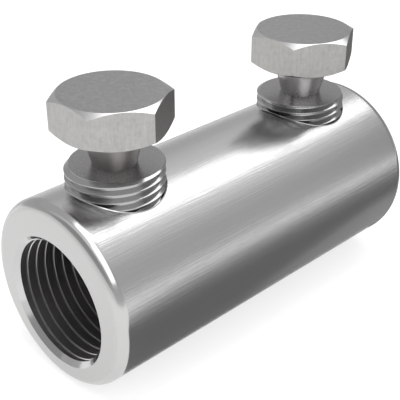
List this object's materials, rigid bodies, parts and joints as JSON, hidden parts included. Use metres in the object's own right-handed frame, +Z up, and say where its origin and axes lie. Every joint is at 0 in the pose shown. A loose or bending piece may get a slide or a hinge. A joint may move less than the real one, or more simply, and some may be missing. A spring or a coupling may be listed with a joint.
{
  "type": "shear bolt connector",
  "caption": "Round tin-plated sleeve that joins cable conductors end to end, clamped in threaded bores by hexagon-headed bolts whose heads shear off when tight.",
  "frame": {"origin": "middle of the left conductor bore's mouth, on the bore's axis", "axes": "+X along the sleeve from the left end to the right end, +Z up along the bolts"},
  "size_m": [0.0805, 0.036, 0.0528],
  "materials": {
    "plated_sleeve": "tin-plated, finely brushed along its length",
    "turned_bolt": "tin-plated, bright turned"
  },
  "bodies": {
    "sleeve": {"connector_sleeve": "plated_sleeve"},
    "left_bolt": {"left_shear_bolt": "turned_bolt"},
    "right_bolt": {"right_shear_bolt": "turned_bolt"}
  },
  "joints": [
    {"name": "left_bolt_screw", "type": "slide", "parent": "sleeve", "child": "left_bolt", "axis": [0, 0, 1], "range_m": [-0.0075, 0.003]},
    {"name": "right_bolt_screw", "type": "slide", "parent": "sleeve", "child": "right_bolt", "axis": [0, 0, 1], "range_m": [-0.0075, 0.003]}
  ]
}
